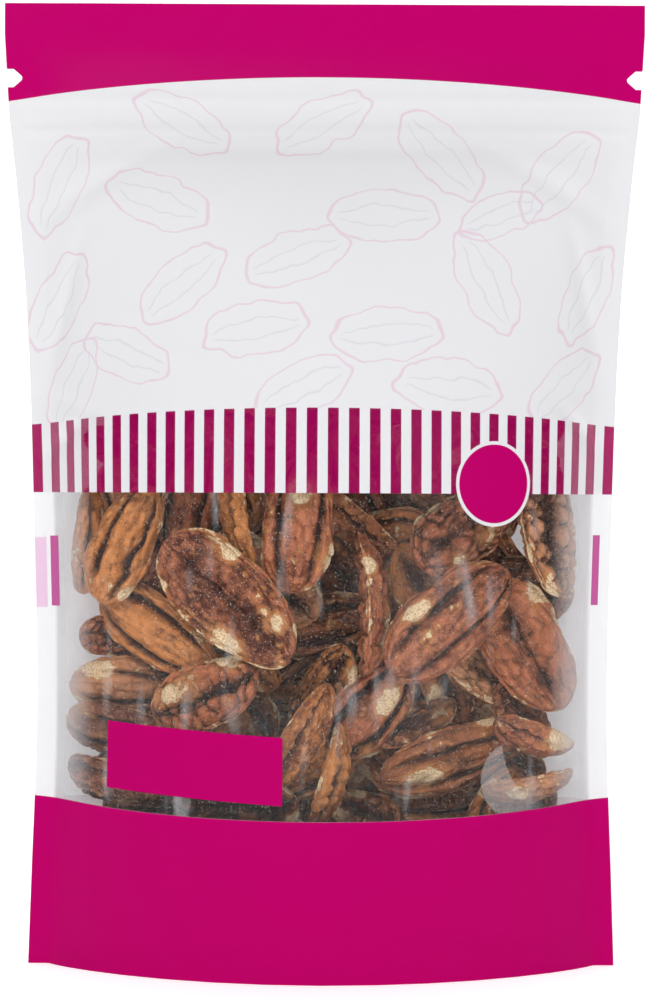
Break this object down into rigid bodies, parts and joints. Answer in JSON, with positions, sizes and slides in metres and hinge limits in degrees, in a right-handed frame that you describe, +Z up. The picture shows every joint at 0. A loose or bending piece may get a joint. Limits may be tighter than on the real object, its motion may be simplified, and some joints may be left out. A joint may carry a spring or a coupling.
{
  "type": "stand-up pouch of pecan halves",
  "caption": "Sealed stand-up pouch with a clear window, a zip and tear notches, filled with shelled pecan halves.",
  "frame": {"origin": "middle of the base, on the surface that the pouch stands on", "axes": "+Z up, from the base to the top seal; -Y out of the printed front with the window; +X to the right as seen from the front"},
  "size_m": [0.145, 0.0562, 0.2175],
  "materials": {
    "printed_film": "clear glossy film with white and magenta print",
    "white_film": "white glossy film with magenta bands",
    "magenta_film": "glossy magenta film",
    "zip_plastic": "milky translucent extruded plastic",
    "pecan_kernel": "matt wrinkled nut skin"
  },
  "bodies": {
    "root": {"back_panel": "white_film", "bottom_gusset": "magenta_film", "front_panel": "printed_film", "pecan_half_01": "pecan_kernel", "pecan_half_02": "pecan_kernel", "pecan_half_03": "pecan_kernel", "pecan_half_04": "pecan_kernel", "pecan_half_05": "pecan_kernel", "pecan_half_06": "pecan_kernel", "pecan_half_07": "pecan_kernel", "pecan_half_08": "pecan_kernel", "pecan_half_09": "pecan_kernel", "pecan_half_10": "pecan_kernel", "pecan_half_11": "pecan_kernel", "pecan_half_12": "pecan_kernel", "pecan_half_13": "pecan_kernel", "pecan_half_14": "pecan_kernel", "pecan_half_15": "pecan_kernel", "pecan_half_16": "pecan_kernel", "pecan_half_17": "pecan_kernel", "pecan_half_18": "pecan_kernel", "pecan_half_19": "pecan_kernel", "pecan_half_20": "pecan_kernel", "pecan_half_21": "pecan_kernel", "pecan_half_22": "pecan_kernel", "pecan_half_23": "pecan_kernel", "pecan_half_24": "pecan_kernel", "pecan_half_25": "pecan_kernel", "pecan_half_26": "pecan_kernel", "pecan_half_27": "pecan_kernel", "pecan_half_28": "pecan_kernel", "pecan_half_29": "pecan_kernel", "pecan_half_30": "pecan_kernel", "pecan_half_31": "pecan_kernel", "pecan_half_32": "pecan_kernel", "pecan_half_33": "pecan_kernel", "pecan_half_34": "pecan_kernel", "pecan_half_35": "pecan_kernel", "pecan_half_36": "pecan_kernel", "pecan_half_37": "pecan_kernel", "pecan_half_38": "pecan_kernel", "pecan_half_39": "pecan_kernel", "pecan_half_40": "pecan_kernel", "pecan_half_41": "pecan_kernel", "pecan_half_42": "pecan_kernel", "pecan_half_43": "pecan_kernel", "pecan_half_44": "pecan_kernel", "pecan_half_45": "pecan_kernel", "pecan_half_46": "pecan_kernel", "pecan_half_47": "pecan_kernel", "pecan_half_48": "pecan_kernel", "pecan_half_49": "pecan_kernel", "pecan_half_50": "pecan_kernel", "pecan_half_51": "pecan_kernel", "pecan_half_52": "pecan_kernel", "pecan_half_53": "pecan_kernel", "pecan_half_54": "pecan_kernel", "pecan_half_55": "pecan_kernel", "zip_rib_strip": "zip_plastic", "zip_socket_strip": "zip_plastic"}
  },
  "joints": []
}
